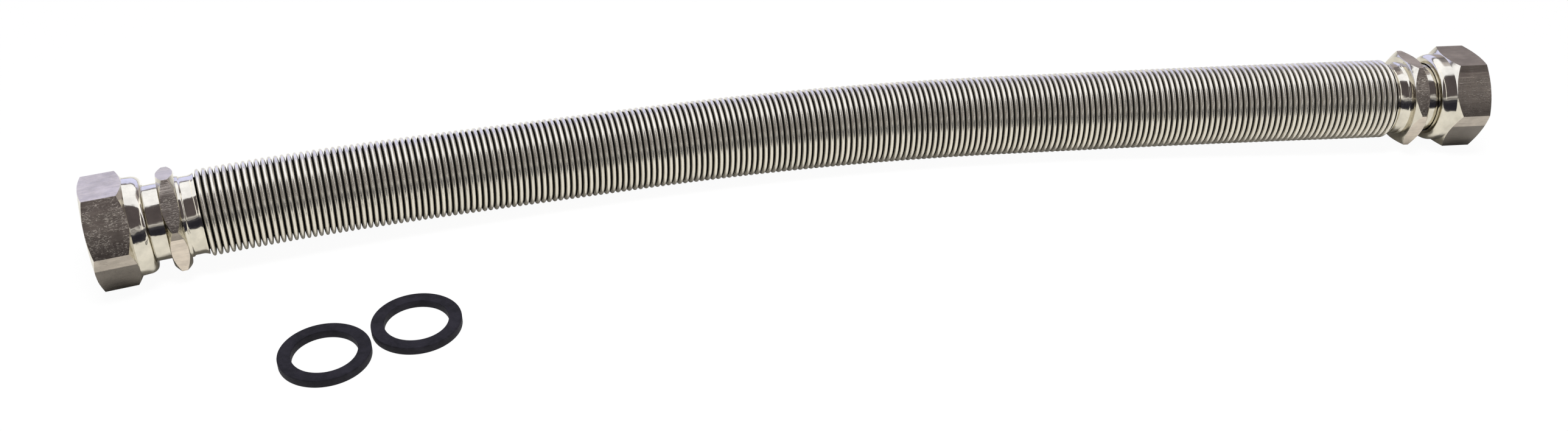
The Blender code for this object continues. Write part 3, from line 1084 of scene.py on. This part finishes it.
class FLEXHOSE_OT_stage(Operator):
    """Set up the floor, the dark card, the lamp, the studio and the camera"""

    bl_idname = "flexhose.stage"
    bl_label = "Stage"

    def execute(self, context):
        self.make_floor()
        self.make_flag()
        self.make_lamp()
        self.make_world()
        self.make_camera()
        context.scene.view_settings.view_transform = "Standard"
        return {"FINISHED"}

    def make_floor(self):
        deselect_all()
        bpy.ops.mesh.primitive_plane_add(size=FLOOR_WIDTH, location=(0.0, 0.0, 0.0))
        floor = name_piece("floor")
        material, shader = new_material("ground")
        line = NodeLine(material.node_tree)
        shader.inputs["Base Color"].default_value = (*colours().ground, 1.0)
        shader.inputs["Roughness"].default_value = 0.9
        shader.inputs["Specular IOR Level"].default_value = 0.0
        glow = line.add("ShaderNodeEmission")
        glow.inputs["Color"].default_value = (*colours().ground, 1.0)
        rays = line.add("ShaderNodeLightPath").outputs
        seen = line.math("MAXIMUM", rays["Is Camera Ray"], rays["Is Transmission Ray"])
        share = line.math("MULTIPLY", seen, FLOOR_GLOW)
        mixer = line.add("ShaderNodeMixShader")
        line.feed(mixer.inputs["Fac"], share)
        line.link(shader.outputs["BSDF"], mixer.inputs[1])
        line.link(glow.outputs["Emission"], mixer.inputs[2])
        line.link(mixer.outputs["Shader"], material.node_tree.nodes["Material Output"].inputs["Surface"])
        floor.data.materials.append(material)

    def make_flag(self):
        """Dark card in front of the hose that only polished steel reflects."""
        deselect_all()
        bpy.ops.mesh.primitive_plane_add(size=1.0)
        flag = name_piece("dark_flag")
        flag.scale = FLAG_SIZE
        flag.location = FLAG_PLACE
        apply_place(flag)
        bpy.ops.object.mode_set(mode="EDIT")
        select_vertices(flag, lambda vert: vert.co.y < FLAG_PLACE[1])
        bpy.ops.mesh.extrude_region_move(TRANSFORM_OT_translate={"value": FLAG_UPTURN})
        bpy.ops.object.mode_set(mode="OBJECT")
        material, shader = new_material("flag_cloth")
        shader.inputs["Base Color"].default_value = (0.004, 0.004, 0.006, 1.0)
        shader.inputs["Roughness"].default_value = 1.0
        shader.inputs["Specular IOR Level"].default_value = 0.0
        shader.inputs["Emission Color"].default_value = (0.03, 0.03, 0.045, 1.0)
        shader.inputs["Emission Strength"].default_value = 1.0
        flag.data.materials.append(material)
        flag.visible_camera = False
        flag.visible_diffuse = False
        flag.visible_shadow = False
        flag.visible_transmission = False

    def make_lamp(self):
        """One broad lamp overhead, which steel doesn't mirror."""
        lamp = bpy.data.lights.new("overhead", "AREA")
        lamp.shape = "RECTANGLE"
        lamp.size, lamp.size_y = LAMP_SIZE
        lamp.energy = LAMP_POWER
        holder = bpy.data.objects.new("overhead", lamp)
        bpy.context.scene.collection.objects.link(holder)
        holder.location = LAMP_PLACE
        holder.rotation_euler.x = LAMP_LEAN
        holder.visible_glossy = False

    def make_world(self):
        """Studio in long strips over the hose, from behind it to in front of it."""
        world = bpy.data.worlds.new("studio")
        bpy.context.scene.world = world
        world.use_nodes = True
        line = NodeLine(world.node_tree)
        background = world.node_tree.nodes["Background"]
        direction = line.add("ShaderNodeSeparateXYZ")
        line.feed(direction.inputs["Vector"], line.add("ShaderNodeTexCoord").outputs["Generated"])
        front = line.math("MULTIPLY", direction.outputs["Y"], -1.0)
        turn = line.math("ARCTAN2", front, direction.outputs["Z"])
        share = line.math("MULTIPLY_ADD", turn, 1.0 / math.tau, 0.5)
        sides = []
        for name in SIDES:
            strips = line.add("ShaderNodeValToRGB")
            line.feed(strips.inputs["Fac"], share)
            paint_strips(strips.color_ramp, STUDIO_STRIPS[name])
            sides.append(strips.outputs["Color"])
        across = direction.outputs["X"]
        studio = line.mix(line.ramp(across, *SIDES_MEET), *sides)
        tubes = line.math("ADD", *(self.light_tube(line, across, middle) for middle in LIGHT_TUBES))
        high = line.math("MULTIPLY", line.ramp(turn, *LIGHT_TUBE_BACK), tubes)
        lit = line.math("MULTIPLY", high, line.ramp(turn, *LIGHT_TUBE_FRONT))
        studio = line.mix(lit, studio, LIGHT_TUBE_GLOW)
        rays = line.add("ShaderNodeLightPath").outputs
        plain = line.mix(rays["Is Glossy Ray"], (0.30, 0.30, 0.31, 1.0), studio)
        seen = line.math("MAXIMUM", rays["Is Camera Ray"], rays["Is Transmission Ray"])
        line.feed(background.inputs["Color"], line.mix(seen, plain, (1.0, 1.0, 1.0, 1.0)))

    def light_tube(self, line, across, middle):
        """Mask of a narrow light that runs from behind the hose to in front of it."""
        away = line.math("ABSOLUTE", line.math("SUBTRACT", across, middle))
        return line.ramp(away, *LIGHT_TUBE_HALF_WIDTHS)

    def make_camera(self):
        camera = bpy.data.cameras.new("camera")
        camera.sensor_fit = "HORIZONTAL"
        camera.sensor_width = SENSOR_WIDTH
        camera.lens = SENSOR_WIDTH * FOCAL_LENGTH / PHOTO_WIDTH
        camera.clip_start = 0.01
        holder = bpy.data.objects.new("camera", camera)
        bpy.context.scene.collection.objects.link(holder)
        turn = Matrix.Rotation(CAMERA_TURN, 4, "Z")
        tilt = Matrix.Rotation(CAMERA_TILT, 4, "X")
        roll = Matrix.Rotation(CAMERA_ROLL, 4, "Z")
        holder.matrix_world = Matrix.Translation(CAMERA_PLACE) @ turn @ tilt @ roll
        bpy.context.scene.camera = holder


# Floor, the dark card in front of the hose, and the lamp
FLOOR_WIDTH = 12.0
FLOOR_GLOW = 0.95
FLAG_SIZE = (3.6, 0.6, 1.0)
FLAG_PLACE = (0.0, -0.42, 0.5 * MM)
FLAG_UPTURN = (0.0, 0.0, 0.18)
LAMP_SIZE = (0.5, 0.22)
LAMP_POWER = 17.0
LAMP_PLACE = (-0.05, -0.26, 1.3)
LAMP_LEAN = math.radians(11.0)

# Strips of the studio, each from an angle, counted from overhead towards the viewer
LAVENDER = (1.06, 1.12, 1.68)
SHADE = (0.26, 0.24, 0.27)
CREAM = (1.58, 1.64, 1.88)
WALL = (0.135, 0.118, 0.135)
LEDGE = (0.95, 0.95, 1.00)
NAVY = (0.06, 0.06, 0.08)
DUSK = (0.54, 0.49, 0.52)
STUDIO_STRIPS = {
    "left": (
        (-180.0, LAVENDER),
        (-61.0, SHADE),
        (-55.0, CREAM),
        (7.0, WALL),
        (62.5, LEDGE),
        (66.0, WALL),
        (68.5, LEDGE),
        (70.0, NAVY),
    ),
    "right": (
        (-180.0, DUSK),
        (-64.0, SHADE),
        (-38.0, DUSK),
        (-22.0, CREAM),
        (4.0, WALL),
        (56.0, LEDGE),
        (68.0, NAVY),
    ),
}
STRIP_BLUR = 1.4

# Where the two sides' strips meet and where two tubes of light cross them, to the right
SIDES_MEET = (0.32, 0.52)
LIGHT_TUBES = (-0.46, 0.74)
LIGHT_TUBE_HALF_WIDTHS = (0.055, 0.03)
LIGHT_TUBE_BACK = (math.radians(-64.0), math.radians(-56.0))
LIGHT_TUBE_FRONT = (math.radians(70.0), math.radians(64.0))
LIGHT_TUBE_GLOW = (1.75, 1.75, 1.80, 1.0)


def paint_strips(ramp, strips):
    """Fill a colour ramp with flat strips that blend over a few degrees."""
    first = ramp.elements[0]
    first.position = 0.0
    first.color = (*strips[0][1], 1.0)
    ramp.elements.remove(ramp.elements[1])
    for (_, before), (angle, after) in zip(strips, strips[1:]):
        for colour, offset in ((before, -0.5), (after, 0.5)):
            stop = ramp.elements.new((angle + offset * STRIP_BLUR + 180.0) / 360.0)
            stop.color = (*colour, 1.0)


class FLEXHOSE_PT_sidebar(Panel):
    bl_idname = "FLEXHOSE_PT_sidebar"
    bl_label = "Flex Hose"
    bl_space_type = "VIEW_3D"
    bl_region_type = "UI"
    bl_category = "Flex Hose"

    def draw(self, context):
        layout = self.layout
        for group in (sizes(), colours()):
            box = layout.box()
            for name in group.__annotations__:
                box.prop(group, name)
        for operator in OPERATORS:
            layout.operator(operator.bl_idname)


OPERATORS = (
    FLEXHOSE_OT_tube,
    FLEXHOSE_OT_tails,
    FLEXHOSE_OT_nuts,
    FLEXHOSE_OT_spring_rings,
    FLEXHOSE_OT_washers,
    FLEXHOSE_OT_stage,
)
CLASSES = (FlexHoseSizes, FlexHoseColours, *OPERATORS, FLEXHOSE_PT_sidebar)


def register():
    for made in CLASSES:
        bpy.utils.register_class(made)
    bpy.types.Scene.flex_hose_sizes = PointerProperty(type=FlexHoseSizes)
    bpy.types.Scene.flex_hose_colours = PointerProperty(type=FlexHoseColours)


def unregister():
    del bpy.types.Scene.flex_hose_colours
    del bpy.types.Scene.flex_hose_sizes
    for made in reversed(CLASSES):
        bpy.utils.unregister_class(made)


def main():
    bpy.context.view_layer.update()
    register()
    make_machining_group()
    make_handling_group()
    bpy.ops.flexhose.stage()
    bpy.ops.flexhose.tube()
    bpy.ops.flexhose.tails()
    bpy.ops.flexhose.nuts()
    bpy.ops.flexhose.spring_rings()
    bpy.ops.flexhose.washers()


if __name__ == "__main__":
    main()
